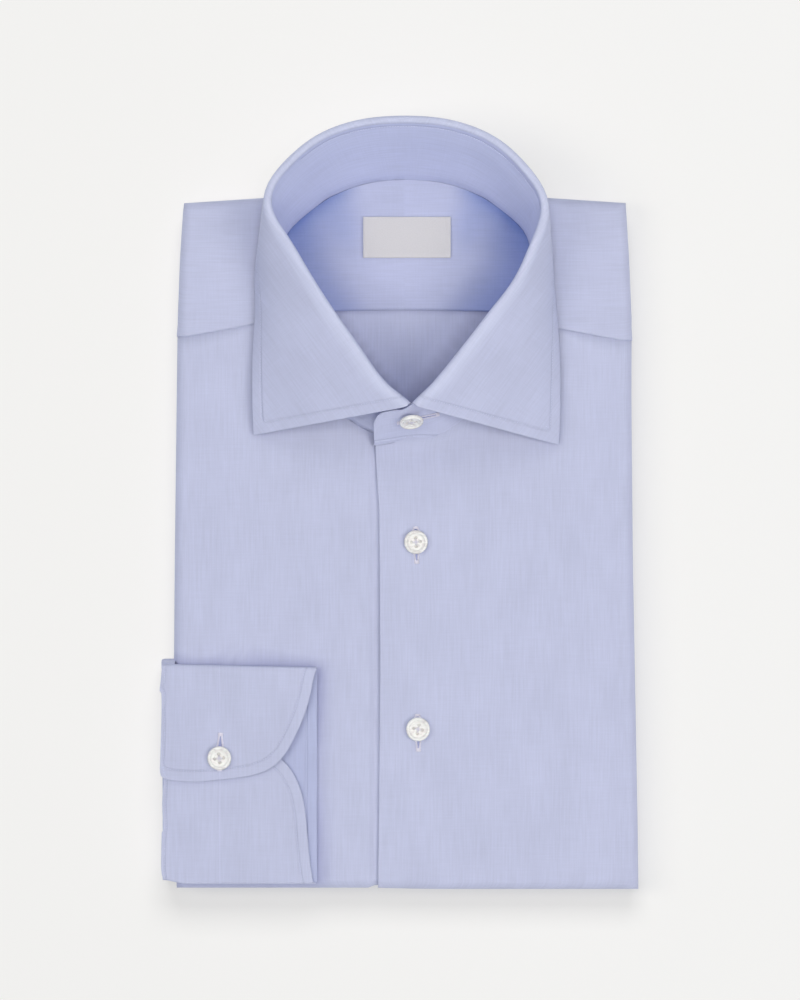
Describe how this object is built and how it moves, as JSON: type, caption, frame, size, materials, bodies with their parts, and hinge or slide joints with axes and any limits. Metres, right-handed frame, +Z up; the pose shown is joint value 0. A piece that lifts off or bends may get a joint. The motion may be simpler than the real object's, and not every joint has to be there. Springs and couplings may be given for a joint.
{
  "type": "long sleeve dress shirt",
  "caption": "Folded long sleeve dress shirt lying flat, with a standing spread collar, a buttoned front and one round-cornered cuff laid over the front.",
  "frame": {"origin": "middle of the bounding box, on the table that the folded shirt lies on", "axes": "+X to the wearer's left, +Y from the hem to the collar, +Z up out of the shirt's face"},
  "size_m": [0.2256, 0.3622, 0.046],
  "materials": {
    "back_cloth": "fine cotton poplin, matt",
    "left_front_cloth": "fine cotton poplin, matt",
    "right_front_cloth": "fine cotton poplin, matt",
    "yoke_cloth": "fine cotton poplin, matt",
    "yoke_lining_cloth": "fine cotton poplin, matt",
    "leaf_cloth": "fine cotton poplin, matt",
    "stand_cloth": "fine cotton poplin, matt",
    "sleeve_cloth": "fine cotton poplin, matt",
    "cuff_cloth": "fine cotton poplin, matt",
    "button_shell": "polished pearl",
    "label_tape": "woven satin tape"
  },
  "bodies": {
    "root": {"back": "back_cloth", "left_front": "left_front_cloth", "right_front": "right_front_cloth", "yoke": "yoke_cloth", "yoke_lining": "yoke_lining_cloth", "collar_leaf": "leaf_cloth", "collar_stand": "stand_cloth", "right_sleeve": "sleeve_cloth", "right_cuff": "cuff_cloth", "collar_button": "button_shell", "front_button_upper": "button_shell", "front_button_lower": "button_shell", "cuff_button": "button_shell", "label": "label_tape"}
  },
  "joints": []
}
